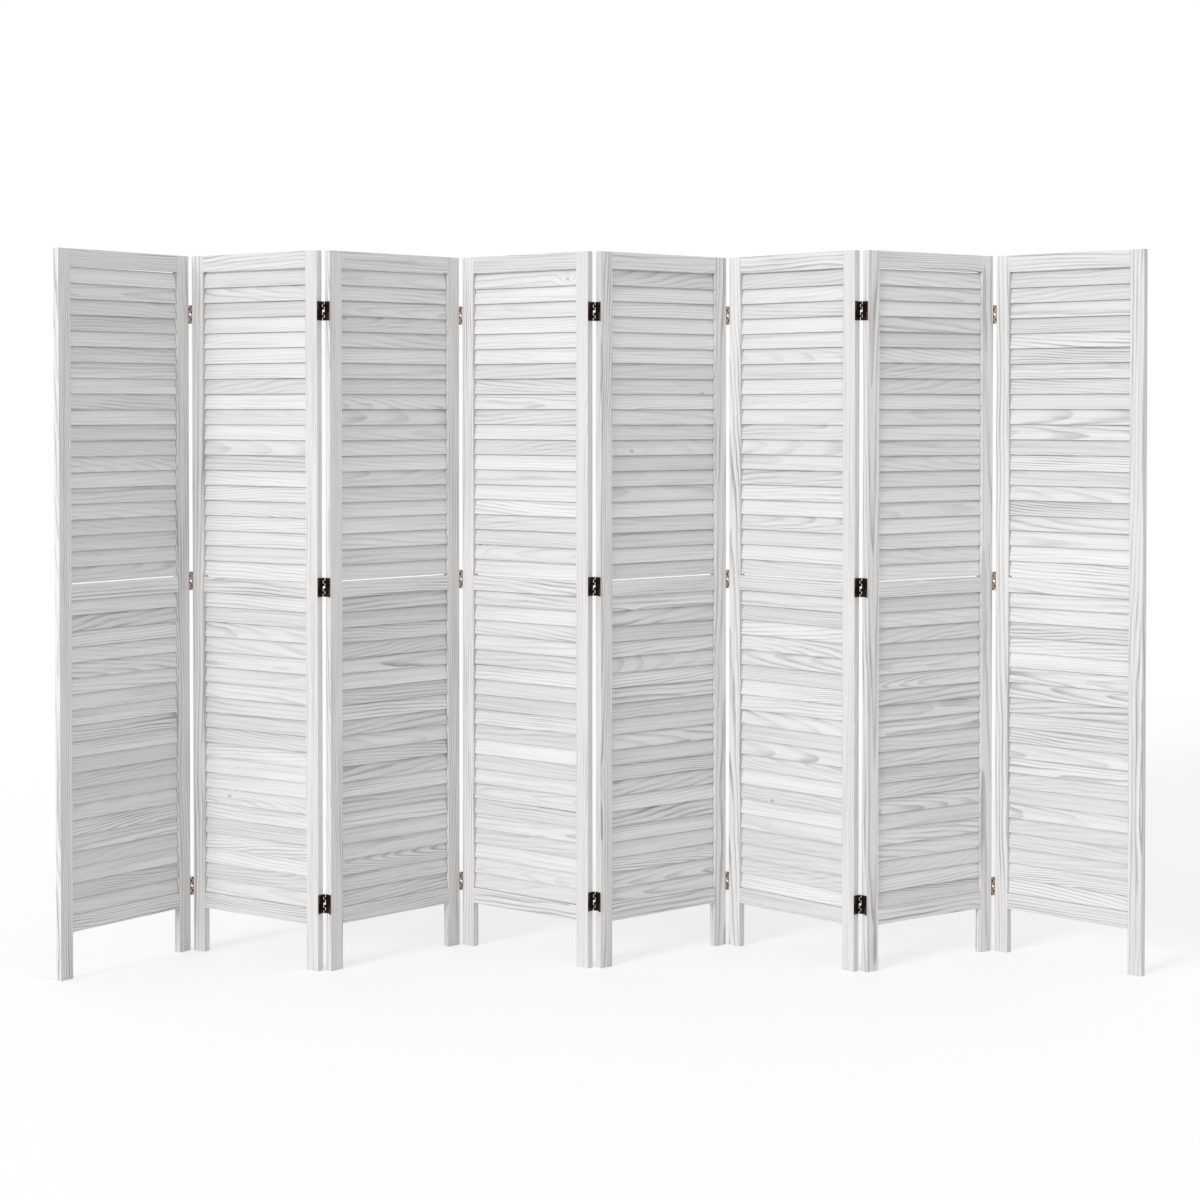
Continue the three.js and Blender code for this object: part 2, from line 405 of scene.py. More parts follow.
def box_between(low, high):
    """A box between two corners with rounded edges, as a bmesh."""
    box = bmesh.new()
    size = Vector(high) - Vector(low)
    middle = Matrix.Translation((Vector(high) + Vector(low)) / 2)
    bmesh.ops.create_cube(box, size=1, matrix=middle @ Matrix.Diagonal((*size, 1)))
    bmesh.ops.bevel(box, geom=box.edges[:], affect="EDGES",
                    offset=eased_edge, segments=edge_steps, profile=0.5)
    return box


def give_grain(mesh, low, high, order, bold):
    """Stores grain, luck and figure on a mesh. order is the axes along, across and into it.
    All three are made before any is filled, because making one moves the others' data."""
    middle = (Vector(low) + Vector(high)) / 2
    luck = Vector((dice.random(), dice.random(), dice.random()))
    kinds = {"grain": "FLOAT_VECTOR", "luck": "FLOAT_VECTOR", "figure": "FLOAT"}
    for name, kind in kinds.items():
        mesh.attributes.new(name, kind, "POINT")
    grain, share, figure = (mesh.attributes[name].data for name in kinds)
    for vertex in mesh.vertices:
        place = vertex.co - middle
        grain[vertex.index].vector = [place[axis] for axis in order]
        share[vertex.index].vector = luck
        figure[vertex.index].value = bold


def ride_on_panel(mesh, name, number, slot, *nodes):
    """Puts a mesh made in a panel's own coordinates in its place, and lets it ride there."""
    mesh.transform(places[number])
    piece = in_scene(name, mesh)
    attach(piece, f"panel_{number}")
    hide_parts(*nodes)
    return piece


def plank(name, number, low, high, order, node, shape=None, bold=1.0):
    """A plank between two corners of a panel. shape, if given, cuts into its bmesh first."""
    box = box_between(low, high)
    if shape:
        shape(box)
    mesh = mesh_of(box, name)
    give_grain(mesh, low, high, order, bold)
    mesh.materials.append(board_wood)
    return ride_on_panel(mesh, name, number, "whitewashed_wood", node)

# %% [markdown]
# ## Stiles
# The two uprights run to the floor and are the screen's legs. A groove down the inner edge takes
# the batten that holds the slat ends. It could be cut with a boolean, but the flat inner face has
# only four corners, so it is simpler to take that face out and put in a rim, four walls and a floor.
# Three of the right stiles are calmly figured.

# %% Stiles
standing = (2, 0, 1)
lying = (0, 2, 1)
batten_room = 0.3 * mm
calm_right_stiles = (2, 4, 6)
calm_figure = 0.1


def groove(side):
    """Cuts the groove in a stile's inner face, which looks along side: 1 is right, -1 left."""
    depth = stile_width - batten_left + batten_room

    def cut(box):
        faces = [face for face in box.faces if face.normal.x * side > 0.99]
        face = max(faces, key=lambda face: face.calc_area())
        rim = list(face.verts)
        box.faces.remove(face)
        mouth, floor = [], []
        for vertex in rim:
            y = batten_front - batten_room if vertex.co.y < 0 else batten_back + batten_room
            z = bottom_rail_top if vertex.co.z < panel_height / 2 else top_rail_floor
            mouth.append(box.verts.new((vertex.co.x, y, z)))
            floor.append(box.verts.new((vertex.co.x - side * depth, y, z)))
        for a, b in zip(range(4), (1, 2, 3, 0)):
            box.faces.new((rim[a], rim[b], mouth[b], mouth[a]))
            box.faces.new((mouth[a], mouth[b], floor[b], floor[a]))
        box.faces.new(floor)

    return cut


for number in panels:
    node = f"panel_{number}_frame"
    low, high = (0, front, 0), (stile_width, back, panel_height)
    plank(f"panel_{number}_left_stile", number, low, high, standing, node, groove(1))
    low, high = (panel_width - stile_width, front, 0), (panel_width, back, panel_height)
    bold = calm_figure if number in calm_right_stiles else 1.0
    plank(f"panel_{number}_right_stile", number, low, high, standing, node, groove(-1), bold)
print("stiles:", 2 * len(panels))

# %% [markdown]
# ## Rails and battens
# Three rails tie the stiles together. They are glued between them, so each one stops at the stile's
# face, with a hair of room where the eased edges meet as a fine line. The battens fill the grooves
# from the bottom rail to the top one.

# %% Rails and battens
glue_line = 0.05 * mm
rail_spans = {
    "bottom_rail": (leg_top, bottom_rail_top),
    "middle_rail": (middle_rail_floor, middle_rail_top),
    "top_rail": (top_rail_floor, panel_height),
}
batten_sides = {
    "left_batten": (batten_left, stile_width),
    "right_batten": (panel_width - stile_width, panel_width - batten_left),
}

for number in panels:
    for kind, (rail_floor, rail_top) in rail_spans.items():
        low = (stile_width + glue_line, front, rail_floor)
        high = (panel_width - stile_width - glue_line, back, rail_top)
        plank(f"panel_{number}_{kind}", number, low, high, lying, f"panel_{number}_frame")
    for kind, (left, right) in batten_sides.items():
        low, high = (left, batten_front, batten_floor), (right, batten_back, batten_top)
        plank(f"panel_{number}_{kind}", number, low, high, standing, f"panel_{number}_louvres")
print("rails:", 3 * len(panels), "battens:", 2 * len(panels))

# %% [markdown]
# ## Slats
# Forty slats in each panel, and eight panels: this is what repeating nodes are for. One slat is a
# leaning section swept along a line. Before it is copied it gets its grain, and each copy then gets
# its own luck and figure, a hair of play up or down and a hair of tilt, because no slat sits dead level
# in its notch. The tree ends in plain geometry with its material.

# %% The slat tree
slat_inputs = {
    "Length": "NodeSocketFloat",
    "Depth": "NodeSocketFloat",
    "Rise": "NodeSocketFloat",
    "Lean": "NodeSocketFloat",
    "Edge": "NodeSocketFloat",
    "Pitch": "NodeSocketFloat",
    "Play": "NodeSocketFloat",
    "Tilt": "NodeSocketFloat",
    "Figure": "NodeSocketFloat",
    "Count": "NodeSocketInt",
    "Seed": "NodeSocketInt",
    "Start": "NodeSocketVector",
    "Material": "NodeSocketMaterial",
}


def new_tree(name, inputs):
    """An empty tree with named inputs. Returns it, its graph and its inputs as wires."""
    tree = bpy.data.node_groups.new(name, "GeometryNodeTree")
    sockets = {"Geometry": "NodeSocketGeometry", **inputs}
    for label, kind in sockets.items():
        tree.interface.new_socket(label, in_out="INPUT", socket_type=kind)
    tree.interface.new_socket("Geometry", in_out="OUTPUT", socket_type="NodeSocketGeometry")
    graph = Graph(tree)
    first = graph.add("NodeGroupInput")
    return tree, graph, {label: first.beside(label) for label in sockets}


def store(graph, geometry, name, value, domain="POINT", kind="FLOAT_VECTOR"):
    """Writes an attribute on a geometry."""
    settings = {"data_type": kind, "domain": domain}
    sockets = {"Geometry": geometry, "Name": name, "Value": value}
    return graph.add("GeometryNodeStoreNamedAttribute", settings, sockets)


def one_slat(graph, given):
    """A single slat about the origin: long in X, leaning back in Y as it rises in Z."""
    half = given["Length"] * 0.5
    sockets = {"Width": given["Depth"], "Height": given["Rise"], "Offset": given["Lean"]}
    settings = {"mode": "PARALLELOGRAM"}
    section = graph.add("GeometryNodeCurvePrimitiveQuadrilateral", settings, sockets)
    sockets = {"Curve": section, "Count": 2, "Radius": given["Edge"]}
    section = graph.add("GeometryNodeFilletCurve", {"mode": "POLY"}, sockets)
    start = graph.add("ShaderNodeCombineXYZ", sockets={"Z": 0.0 - half})
    end = graph.add("ShaderNodeCombineXYZ", sockets={"Z": half})
    line = graph.add("GeometryNodeCurvePrimitiveLine", sockets={"Start": start, "End": end})
    sockets = {"Curve": line, "Profile Curve": section, "Fill Caps": True}
    slat = graph.add("GeometryNodeCurveToMesh", sockets=sockets)
    quarter = math.pi / 2
    sockets = {"Geometry": slat, "Rotation": (quarter, 0.0, quarter)}
    return graph.add("GeometryNodeTransform", sockets=sockets)


def with_grain(graph, slat):
    """Stores where each point is: along the slat, across it and into it."""
    position = graph.add("GeometryNodeInputPosition")
    x = graph.add("ShaderNodeSeparateXYZ", sockets={"Vector": position})
    sockets = {"X": x, "Y": x.beside("Z"), "Z": x.beside("Y")}
    return store(graph, slat, "grain", graph.add("ShaderNodeCombineXYZ", sockets=sockets))


def shaken(graph, slats, given):
    """Moves each copy up or down by at most the play, and tilts it by at most the tilt."""
    for kind, label, axis, seed in (("Translate", "Play", "Z", 1), ("Rotate", "Tilt", "Y", 2)):
        sockets = {2: 0.0 - given[label], 3: given[label], "Seed": given["Seed"] + seed}
        chance = graph.add("FunctionNodeRandomValue", {"data_type": "FLOAT"}, sockets, out=1)
        move = graph.add("ShaderNodeCombineXYZ", sockets={axis: chance})
        target = "Translation" if kind == "Translate" else "Rotation"
        sockets = {"Instances": slats, target: move}
        slats = graph.add(f"GeometryNode{kind}Instances", sockets=sockets)
    return slats


def slat_tree():
    """The tree that makes one run of slats."""
    tree, graph, given = new_tree("slat_run", slat_inputs)
    slat = with_grain(graph, one_slat(graph, given))
    offset = graph.add("ShaderNodeCombineXYZ", sockets={"Z": given["Pitch"]})
    sockets = {"Count": given["Count"], "Start Location": given["Start"], "Offset": offset}
    points = graph.add("GeometryNodeMeshLine", {"mode": "OFFSET"}, sockets)
    slats = graph.add("GeometryNodeInstanceOnPoints", sockets={"Points": points, "Instance": slat})
    luck = graph.add("FunctionNodeRandomValue", {"data_type": "FLOAT_VECTOR"}, {"Seed": given["Seed"]})
    sockets = {2: 0.0, 3: given["Figure"], "Seed": given["Seed"] + 3}
    bold = graph.add("FunctionNodeRandomValue", {"data_type": "FLOAT"}, sockets, out=1)
    slats = store(graph, slats, "luck", luck, "INSTANCE")
    slats = shaken(graph, store(graph, slats, "figure", bold, "INSTANCE", "FLOAT"), given)
    slats = graph.add("GeometryNodeRealizeInstances", sockets={"Geometry": slats})
    sockets = {"Geometry": slats, "Material": given["Material"]}
    slats = graph.add("GeometryNodeSetMaterial", sockets=sockets)
    graph.add("NodeGroupOutput", sockets={"Geometry": slats})
    return tree

# %% [markdown]
# ## From a tree to a plain mesh
# The tree hangs on an object as a modifier. Its inputs are set by the sockets' identifiers, since
# names can change, and before anything looks at the object. The evaluated object then gives a plain
# mesh, and the helper object is thrown away. The runs of a panel are gathered in one mesh. Some
# panels have bolder slats in their lower field than in their upper one. On two panels the topmost
# slat has slipped down a little in its notches, so that light shows over it.

# %% Slats for every panel
def evaluated_mesh(helper):
    """The mesh that an object's modifiers make. The helper object goes."""
    seen = helper.evaluated_get(bpy.context.evaluated_depsgraph_get())
    mesh = bpy.data.meshes.new_from_object(seen)
    bpy.data.objects.remove(helper)
    return mesh


def grown(tree, values, base=None):
    """The plain mesh that a tree makes from named values."""
    helper = in_scene("helper", base or bpy.data.meshes.new("empty"))
    modifier = helper.modifiers.new("tree", "NODES")
    modifier.node_group = tree
    for item in tree.interface.items_tree:
        if item.in_out == "INPUT" and item.name in values:
            modifier[item.identifier] = values[item.name]
    return evaluated_mesh(helper)


def dressed(mesh, material):
    """One material on all faces. A tree that sets a material leaves an empty slot before it."""
    mesh.materials.clear()
    mesh.materials.append(material)
    for face in mesh.polygons:
        face.material_index = 0
    return mesh


def gathered(name, meshes, material):
    """Several meshes with the same attributes as one."""
    whole = bmesh.new()
    for mesh in meshes:
        whole.from_mesh(mesh)
    return dressed(mesh_of(whole, name), material)


slat_into_batten = 3 * mm
slat_edge = 0.8 * mm
slat_play = 0.25 * mm
slat_tilt = math.radians(0.06)
usual_figure = (1.0, 1.0)
slat_figures = {1: (1.8, 0.6), 3: (1.8, 0.6), 5: (1.8, 0.6), 7: (1.2, 0.8), 8: (1.6, 1.6)}
slipped = {1: (-0.2 * mm, 1.7 * mm), 7: (1.1 * mm, 1.3 * mm)}
run_of_slats = slat_tree()


def slat_run(number, order, floor, count, rise):
    """One run of a panel's slats, in the panel's own coordinates."""
    lean = full_lean * rise / full_rise
    middle = (panel_width / 2, slat_front + (slat_depth + lean) / 2, floor + rise / 2)
    lower, upper = slat_figures.get(number, usual_figure)
    values = {
        "Length": panel_width - 2 * stile_width + 2 * slat_into_batten,
        "Depth": slat_depth,
        "Rise": rise,
        "Lean": lean,
        "Edge": slat_edge,
        "Pitch": slat_pitch,
        "Play": slat_play,
        "Tilt": slat_tilt,
        "Figure": lower if floor < middle_rail_floor else upper,
        "Count": count,
        "Seed": 100 * number + 10 * order,
        "Start": middle,
        "Material": slat_wood,
    }
    return grown(run_of_slats, values)


def let_down(mesh, left, right):
    """Lowers a slat by so much at its left and right ends."""
    for vertex in mesh.vertices:
        share = vertex.co.x / panel_width
        vertex.co.z -= left + (right - left) * share


for number in panels:
    runs = [slat_run(number, order, *run) for order, run in enumerate(slat_runs())]
    let_down(runs[-1], *slipped.get(number, (0, 0)))
    mesh = gathered(f"panel_{number}_slats", runs, slat_wood)
    ride_on_panel(mesh, mesh.name, number, "whitewashed_wood", f"panel_{number}_louvres")
print("faces in one panel's slats:", len(mesh.polygons))

# %% [markdown]
# ## Hinge shapes
# The hinges fold both ways. Each half has a leaf screwed to the stile's edge, and the leaf is rolled
# into barrels at its front and rear ends, but only above or only below the middle. A link runs from
# the front barrel of each half down to the other half's rear pin, so the two halves can part at the
# front and stay together behind, or the other way round. All forty-two halves are the same shape, so
# each part is modelled once in the hinge's own frame and copied: x points from the left stile to the
# right one, y back, z up, with the origin in the middle. Heights are counted in six slots, three
# above a break in the middle and three below it.

# %% Hinge sizes
hinge_height = 45 * mm
barrel_break = 5 * mm
slot_height = (hinge_height - barrel_break) / 6
slot_room = 0.15 * mm
seat_room = 0.3 * mm
leaf_thickness = 1 * mm
leaf_proud = 0.5 * mm
leaf_to_barrel = 1.1 * mm
barrel_radius = 1.7 * mm
link_thickness = 1 * mm
link_bend = 5 * mm
pin_radius = 0.8 * mm
bore_radius = 0.9 * mm
axis_depth = back + 1 * mm
leaf_reach = back + leaf_proud
leaf_inner = -barrel_radius - leaf_to_barrel
leaf_outer = leaf_inner - leaf_thickness
half_gap = seat_room - leaf_outer
barrel_steps = 20
hinge_edge = 0.12 * mm
sharp_corner = math.radians(50)
print("hinge", hinge_height / mm, "mm high, gap between panels", round(2 * half_gap / mm, 2), "mm")


def arc(middle, radius, start, end, steps=barrel_steps):
    """Points on an arc seen from above, from one angle in degrees to another."""
    angles = [math.radians(start + (end - start) * i / steps) for i in range(steps + 1)]
    return [(middle[0] + radius * math.cos(a), middle[1] + radius * math.sin(a)) for a in angles]


def slot_lines(start, end):
    """The heights of two slot lines, counted from the break: up where they are positive."""
    side = math.copysign(barrel_break / 2, start + end)
    return side + start * slot_height, side + end * slot_height


def slots(start, end):
    """The heights of a stretch of slots, with room at both ends."""
    low, high = slot_lines(start, end)
    return low + slot_room, high - slot_room


def clear_of_slots(start, end):
    """The same stretch, widened at both ends, for a cut that another part passes through."""
    low, high = slot_lines(start, end)
    return low - slot_room, high + slot_room


def skinned(rings, name):
    """A closed mesh through rings of points, with a face over the first ring and the last."""
    solid = bmesh.new()
    loops = [[solid.verts.new(point) for point in ring] for ring in rings]
    solid.faces.new(reversed(loops[0]))
    solid.faces.new(loops[-1])
    for low, high in zip(loops, loops[1:]):
        for a in range(len(low)):
            b = (a + 1) % len(low)
            solid.faces.new((low[a], low[b], high[b], high[a]))
    bmesh.ops.recalc_face_normals(solid, faces=solid.faces)
    return mesh_of(solid, name)


def prism(outline, heights):
    """A closed mesh: an outline seen from above, stood up between two heights."""
    return skinned([[(*point, height) for point in outline] for height in heights], "prism")


def block(x, y, heights):
    """A box between two x, two y and two heights, as a mesh."""
    return prism([(x[0], y[0]), (x[1], y[0]), (x[1], y[1]), (x[0], y[1])], heights)


def circle(y, radius):
    """Points round one of the hinge's axes."""
    return arc((0, y), radius, 0, 360 - 360 / barrel_steps, barrel_steps - 1)


def rod(y, radius, heights):
    """An upright cylinder on one of the hinge's axes, as a mesh."""
    return prism(circle(y, radius), heights)


def machined(solid, cuts):
    """A mesh with others cut away, its sharp edges then worn round."""
    helper = in_scene("helper", solid)
    tools = [in_scene("tool", cut) for cut in cuts]
    for tool in tools:
        modifier = helper.modifiers.new("cut", "BOOLEAN")
        modifier.operation = "DIFFERENCE"
        modifier.object = tool
    bevel = helper.modifiers.new("edge", "BEVEL")
    bevel.width = hinge_edge
    bevel.segments = 1
    bevel.limit_method = "ANGLE"
    bevel.angle_limit = sharp_corner
    mesh = evaluated_mesh(helper)
    for tool in tools:
        bpy.data.objects.remove(tool)
    return mesh

# %% [markdown]
# ## The leaf
# Seen from above the leaf is a flat strip with a barrel rolled at each end. Standing that outline up
# gives barrels of full height, so their lower half is cut away, and so are the places of the two
# links' eyes and the bores for the pins.

# %% The leaf
def leaf_mesh():
    outline = [(leaf_outer, -leaf_reach), (leaf_inner, -leaf_reach)]
    outline += arc((0, -axis_depth), barrel_radius, 180, 450)
    outline += [(leaf_inner, barrel_radius - axis_depth), (leaf_inner, axis_depth - barrel_radius)]
    outline += arc((0, axis_depth), barrel_radius, -90, 180)
    outline += [(leaf_inner, leaf_reach), (leaf_outer, leaf_reach)]
    beyond = axis_depth + 2 * barrel_radius
    x = (leaf_inner, 2 * barrel_radius)
    upper = barrel_break / 2 + slot_room
    cuts = [
        block(x, (-beyond, beyond), (-hinge_height, upper)),
        block(x, (-beyond, 0), clear_of_slots(0, 1)),
        block(x, (0, beyond), clear_of_slots(1, 2)),
        rod(-axis_depth, bore_radius, clear_of_slots(0, 3)),
        rod(axis_depth, bore_radius, clear_of_slots(0, 3)),
    ]
    reach = hinge_height / 2 - slot_room
    return machined(prism(outline, (-reach, reach)), cuts)


leaf_shape = leaf_mesh()
print("leaf faces:", len(leaf_shape.polygons))

# %% [markdown]
# ## The link and the pins
# The link is a strip rolled into an eye at each end. The front eye turns on this half's own pin, in
# the first slot, and the rear one on the other half's pin, in the second slot below the break. So
# the strip drops between them, and it lies against its own leaf's side of the barrels, where the
# other half's link can pass it. The pins are plain rods with a flattened head at the outer end.

# %% Link and pins
def link_mesh():
    near, far = -barrel_radius, link_thickness - barrel_radius
    end = 360 + math.degrees(math.acos(far / barrel_radius))
    eye = [(near, -link_bend), *arc((0, -axis_depth), barrel_radius, 180, end), (far, -link_bend)]
    rear_eye = [(x, -y) for x, y in eye]
    link = bmesh.new()
    ends = []
    for outline, heights in ((eye, slots(0, 1)), (rear_eye, slots(-2, -1))):
        low, high = ([link.verts.new((x, y, z)) for x, y in outline] for z in heights)
        link.faces.new(low)
        link.faces.new(high)
        for a in range(len(outline) - 1):
            link.faces.new((low[a], low[a + 1], high[a + 1], high[a]))
        ends.append((low[-1], low[0], high[0], high[-1]))
    for a, b in zip(range(4), (1, 2, 3, 0)):
        link.faces.new((ends[0][a], ends[0][b], ends[1][b], ends[1][a]))
    bmesh.ops.recalc_face_normals(link, faces=link.faces)
    bores = [rod(-axis_depth, bore_radius, clear_of_slots(0, 1)),
             rod(axis_depth, bore_radius, clear_of_slots(-2, -1))]
    return machined(mesh_of(link, "link"), bores)


head_radius = 1.4 * mm
head_height = 0.6 * mm


def pin_mesh(y):
    """A pin on one axis, from the break up."""
    start, reach = slots(0, 3)
    profile = [
        (pin_radius, start),
        (pin_radius, reach),
        (head_radius, reach),
        (head_radius, reach + head_height * 0.5),
        (head_radius * 0.6, reach + head_height),
    ]
    return skinned([[(*p, height) for p in circle(y, radius)] for radius, height in profile], "pin")


link_shape = link_mesh()
pin_shapes = [pin_mesh(axis_depth), pin_mesh(-axis_depth)]
print("link faces:", len(link_shape.polygons))

# %% [markdown]
# ## Dark bronze
# The hinges are steel with a dark bronze finish. It is nearly black where nothing touches it, and
# rubbed to copper on the ends of the leaf and on the barrels that turn. How rubbed each point is
# lies on the mesh as an attribute called rub, and is broken up by noise. The finish stays metal all
# over, so only its colour and roughness change.

# %% Dark bronze
dark_bronze_colour = (0.065, 0.043, 0.033, 1.0)
copper_colour = (0.3, 0.185, 0.125, 1.0)


def dark_bronze():
    material, graph = new_material("rubbed_bronze")
    rub = graph.add("ShaderNodeAttribute", {"attribute_name": "rub"}, out="Fac")
    place = graph.add("ShaderNodeTexCoord", out="Object")
    fine = graph.add("ShaderNodeTexNoise", sockets={"Vector": place, "Scale": 900.0, "Detail": 3.0})
    broad = graph.add("ShaderNodeTexNoise", sockets={"Vector": place, "Scale": 160.0})
    worn = step(graph, rub + (broad - 0.5) * 0.7 + (fine - 0.5) * 0.3, 0.6, 1.15)
    sockets = {"Factor": worn, "A": dark_bronze_colour, "B": copper_colour}
    colour = graph.add("ShaderNodeMix", {"data_type": "RGBA"}, sockets, out="Result")
    sockets = {"Strength": 0.2, "Distance": 0.05 * mm, "Height": fine}
    normal = graph.add("ShaderNodeBump", sockets=sockets)
    roughness = 0.42 + (fine - 0.5) * 0.2 - worn * 0.1
    sockets = {"Base Color": colour, "Roughness": roughness, "Normal": normal, "Metallic": 1.0}
    shader = graph.add("ShaderNodeBsdfPrincipled", sockets=sockets)
    graph.add("ShaderNodeOutputMaterial", sockets={"Surface": shader})
    return material


bronze = dark_bronze()
print("made", bronze.name)

# %% [markdown]
# ## Hanging the hinges
# A hinge half sits on the right edge of one panel or the left edge of the next. At a ridge it folds
# about its back pin and at a valley about its front one, which is the same half turned over. So four
# turns place every half: left or right of a ridge, left or right of a valley.

# %% Hinge places
half_turns = {
    ("ridge", "left"): Matrix.Identity(4),
    ("ridge", "right"): Matrix.Rotation(math.pi, 4, "Y"),
    ("valley", "left"): Matrix.Rotation(math.pi, 4, "X"),
    ("valley", "right"): Matrix.Rotation(math.pi, 4, "Z"),
}
smooth_below = math.radians(40)


def turn_of(number):
    return places[number].to_euler().z


def hinge_height_of(node):
    """The middle height of a hinge half."""
    low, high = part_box(node)
    return (low.z + high.z) / 2


def hinge_halves():
    """(node, panel that it rides on, matrix in that panel's own coordinates) for each half."""
    for left in panels[:-1]:
        kind = "valley" if turn_of(left + 1) < turn_of(left) else "ridge"
        for level in ("top", "middle", "bottom"):
            for side in ("left", "right"):
                node = f"hinge_{left}_{left + 1}_{level}_{side}_half"
                x = panel_width + half_gap if side == "left" else -half_gap
                place = Matrix.Translation((x, 0, hinge_height_of(node)))
                number = left if side == "left" else left + 1
                yield node, number, place @ half_turns[kind, side]


def wear(point):
    """How rubbed a point is: the leaf's two ends, and the barrels that the hinge turns on."""
    if point.x < leaf_inner + tiny:
        return (abs(point.y) - back + leaf_proud) / (2 * leaf_proud)
    return (point.y - axis_depth + barrel_radius) / barrel_radius


def rubbed(mesh):
    """Stores how much each point of a hinge part is rubbed, in the hinge's own frame."""
    rub = mesh.attributes.new("rub", "FLOAT", "POINT")
    for vertex in mesh.vertices:
        rub.data[vertex.index].value = min(max(wear(vertex.co), 0), 1)


def finished(mesh):
    """Smooth round the barrels, sharp at the corners, in bronze."""
    for face in mesh.polygons:
        face.use_smooth = True
    mesh.set_sharp_from_angle(angle=smooth_below)
    rubbed(mesh)
    return dressed(mesh, bronze)


pin_pair = gathered("pins", pin_shapes, bronze)
hinge_parts = {"leaf": finished(leaf_shape), "link": finished(link_shape), "pins": finished(pin_pair)}

for node, number, place in hinge_halves():
    for part, shape in hinge_parts.items():
        mesh = shape.copy()
        mesh.transform(place)
        name = node.replace("half", part)
        mesh.name = name
        ride_on_panel(mesh, name, number, "dark_bronze", node)
print("hinge halves:", len(list(hinge_halves())))

# %% [markdown]
# ## Screws
# Each leaf has four small screws with a cross cut in their heads. There are 168 of them, so one
# head is modelled with few faces and the rest are instances. A point carries the way its screw looks
# as an attribute, and every head gets its own spin, since nobody lines up screws.

# %% One screw head
screw_radius = 2.1 * mm
screw_rise = 0.4 * mm
cross_arm = 1.15 * mm
cross_half = 0.3 * mm
rubbed_head, rubbed_cross = 0.75, 0.3


def screw_head():
    """A low dome along +Z with a cross cut in it. Twelve points round match the cross's twelve."""
    profile = [
        (screw_radius, 0.0),
        (screw_radius * 0.95, screw_rise * 0.5),
        (screw_radius * 0.7, screw_rise),
    ]
    rings = [[(*p, height) for p in arc((0, 0), radius, 15, 345, 11)] for radius, height in profile]
    cross = []
    for quarter in range(4):
        spin = Matrix.Rotation(math.pi / 2 * quarter, 2)
        corners = ((cross_arm, cross_half), (cross_half, cross_half), (cross_half, cross_arm))
        cross += [spin @ Vector(corner) for corner in corners]
    rings += [[(*corner, height) for corner in cross] for height in (screw_rise, screw_rise * 0.2)]
    mesh = skinned(rings, "screw_head")
    rub = mesh.attributes.new("rub", "FLOAT", "POINT")
    for vertex in mesh.vertices:
        rub.data[vertex.index].value = rubbed_head if vertex.co.z > screw_rise * 0.9 else rubbed_cross
    return mesh


print("screw head faces:", len(screw_head().polygons))

# %% [markdown]
# The tree reads where each screw looks from its point, leans the head that way and spins it.

# %% All the screws
screw_inputs = {
    "Head": "NodeSocketObject",
    "Seed": "NodeSocketInt",
    "Material": "NodeSocketMaterial",
}


def screw_tree():
    """The tree that sets a screw head on every point."""
    tree, graph, given = new_tree("screws", screw_inputs)
    head = graph.add("GeometryNodeObjectInfo", sockets={"Object": given["Head"]}, out="Geometry")
    settings = {"data_type": "FLOAT_VECTOR"}
    look = graph.add("GeometryNodeInputNamedAttribute", settings, {"Name": "look"})
    turn = graph.add("FunctionNodeAlignRotationToVector", {"axis": "Z"}, {"Vector": look})
    sockets = {2: 0.0, 3: math.tau, "Seed": given["Seed"]}
    spin = graph.add("FunctionNodeRandomValue", {"data_type": "FLOAT"}, sockets, out=1)
    sockets = {"Axis": (0.0, 0.0, 1.0), "Angle": spin}
    spin = graph.add("FunctionNodeAxisAngleToRotation", sockets=sockets)
    sockets = {"Rotation": turn, "Rotate By": spin}
    turn = graph.add("FunctionNodeRotateRotation", {"rotation_space": "LOCAL"}, sockets)
    sockets = {"Points": given["Geometry"], "Instance": head, "Rotation": turn}
    screws = graph.add("GeometryNodeInstanceOnPoints", sockets=sockets)
    screws = graph.add("GeometryNodeRealizeInstances", sockets={"Geometry": screws})
    sockets = {"Geometry": screws, "Material": given["Material"]}
    screws = graph.add("GeometryNodeSetMaterial", sockets=sockets)
    graph.add("NodeGroupOutput", sockets={"Geometry": screws})
    return tree


screw_spots = [(-3.6 * mm, -18 * mm), (3.6 * mm, -6 * mm), (-3.6 * mm, 6 * mm), (3.6 * mm, 18 * mm)]


def screw_points(number):
    """A mesh of points, one for each screw in a panel's leaves, with the way each one looks."""
    points = bpy.data.meshes.new("screw_points")
    spots, looks = [], []
    for _, rides_on, place in hinge_halves():
        if rides_on == number:
            spots += [place @ Vector((leaf_inner, y, z)) for y, z in screw_spots]
            looks += [place.to_3x3() @ Vector((1, 0, 0))] * len(screw_spots)
    points.from_pydata(spots, [], [])
    look = points.attributes.new("look", "FLOAT_VECTOR", "POINT")
    for index, vector in enumerate(looks):
        look.data[index].vector = vector
    return points


head = in_scene("screw_head", screw_head())
tree = screw_tree()
for number in panels:
    values = {"Head": head, "Seed": number, "Material": bronze}
    mesh = dressed(grown(tree, values, screw_points(number)), bronze)
    ride_on_panel(mesh, f"panel_{number}_hinge_screws", number, "dark_bronze")
    print(f"panel {number}: {len(mesh.polygons)} faces of screws")
bpy.data.objects.remove(head)

# %% [markdown]
# ## Light and ground
# The light is plain and soft. The world gives most of it, from all round, and one broad lamp in
# front to the left makes the panels that face it brighter than the others. The background is white
# only to the camera and in reflections, so it adds no light. The floor is pale, and the camera sees
# it a little brighter than it is, so that it meets the white of the background but keeps the shadow.

# %% Light and ground
sky_light = 0.74
lamp_strength = 1.17
lamp_from_left = math.radians(42)
lamp_height = math.radians(15)
lamp_softness = math.radians(18)
floor_colour = (0.8, 0.8, 0.8, 1.0)
floor_lift = 0.33
floor_half = 30.0


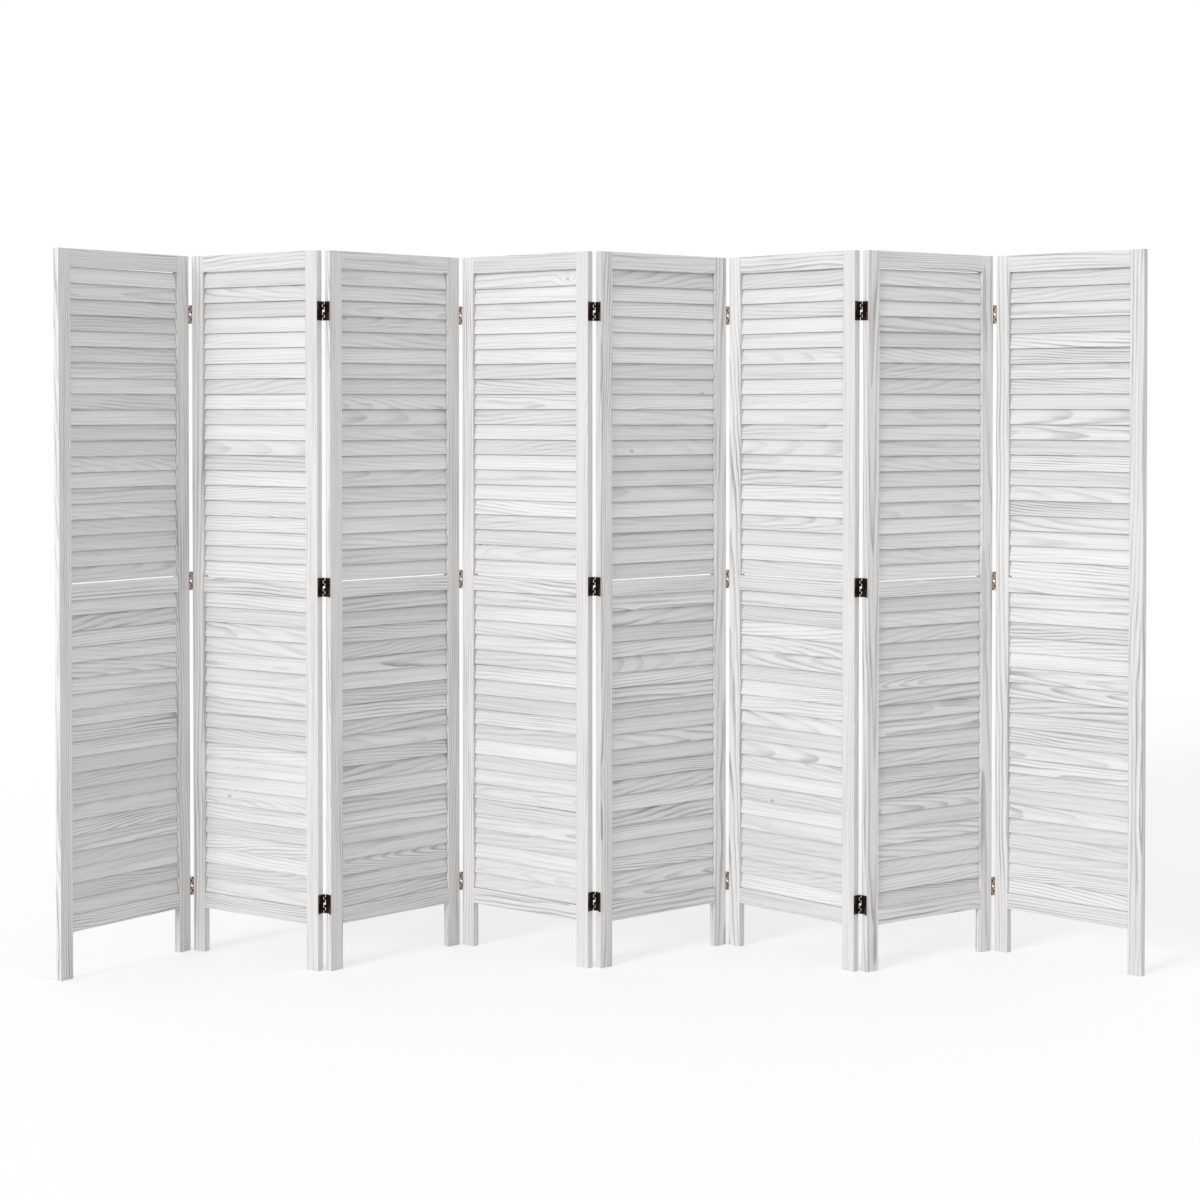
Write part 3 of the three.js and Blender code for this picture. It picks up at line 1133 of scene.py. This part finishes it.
def seen_or_mirrored(graph):
    """1 for rays from the camera and for those off metal or through glass, else 0."""
    camera = graph.add("ShaderNodeLightPath", out="Is Camera Ray")
    seen = graph.maths("MAXIMUM", camera, camera.beside("Is Glossy Ray"))
    return graph.maths("MAXIMUM", seen, camera.beside("Is Transmission Ray"))


def light_world():
    world = bpy.data.worlds.new("studio")
    world.use_nodes = True
    graph = Graph(world.node_tree)
    white = (1.0, 1.0, 1.0, 1.0)
    lit = graph.add("ShaderNodeBackground", sockets={"Color": white, "Strength": sky_light})
    shown = graph.add("ShaderNodeBackground", sockets={"Color": white, "Strength": 1.0})
    sockets = {0: seen_or_mirrored(graph), 1: lit, 2: shown}
    both = graph.add("ShaderNodeMixShader", sockets=sockets)
    graph.add("ShaderNodeOutputWorld", sockets={"Surface": both})
    bpy.context.scene.world = world


def lay_floor():
    corners = [(-floor_half, -floor_half, 0), (floor_half, -floor_half, 0),
               (floor_half, floor_half, 0), (-floor_half, floor_half, 0)]
    mesh = bpy.data.meshes.new("floor")
    mesh.from_pydata(corners, [], [(0, 1, 2, 3)])
    material, graph = new_material("pale_floor")
    plain = graph.add("ShaderNodeBsdfDiffuse", sockets={"Color": floor_colour})
    lift = seen_or_mirrored(graph) * floor_lift
    glow = graph.add("ShaderNodeEmission", sockets={"Strength": lift})
    both = graph.add("ShaderNodeAddShader", sockets={0: plain, 1: glow})
    graph.add("ShaderNodeOutputMaterial", sockets={"Surface": both})
    mesh.materials.append(material)
    in_scene("floor", mesh)


def hang_lamp():
    lamp = bpy.data.lights.new("broad_lamp", "SUN")
    lamp.energy = lamp_strength
    lamp.angle = lamp_softness
    holder = in_scene("broad_lamp", lamp)
    holder.rotation_euler = (math.pi / 2 - lamp_height, 0, -lamp_from_left)


light_world()
lay_floor()
hang_lamp()
bpy.context.scene.view_settings.view_transform = "Standard"

# %% [markdown]
# ## The camera
# The picture was taken from well in front, at chest height, looking very slightly down. These values
# were found by matching the corners of the panels. The picture's middle is below the lens's own axis,
# which is what the shift says, so upright edges stay nearly upright.

# %% The camera
picture_width = 1200
focal_pixels = 2345.2
axis_above_middle = 146.3
sensor = 36.0
camera_place = (-0.0188, -5.6152, 1.3267)
camera_down = math.radians(1.085)
camera_right = math.radians(0.13)


def set_camera():
    lens = bpy.data.cameras.new("camera")
    lens.sensor_width = sensor
    lens.lens = sensor * focal_pixels / picture_width
    lens.shift_y = -axis_above_middle / picture_width
    camera = in_scene("camera", lens)
    camera.location = camera_place
    camera.rotation_euler = (math.pi / 2 - camera_down, 0, -camera_right)
    bpy.context.scene.camera = camera
    return lens


print(f"lens {set_camera().lens:.1f} mm")
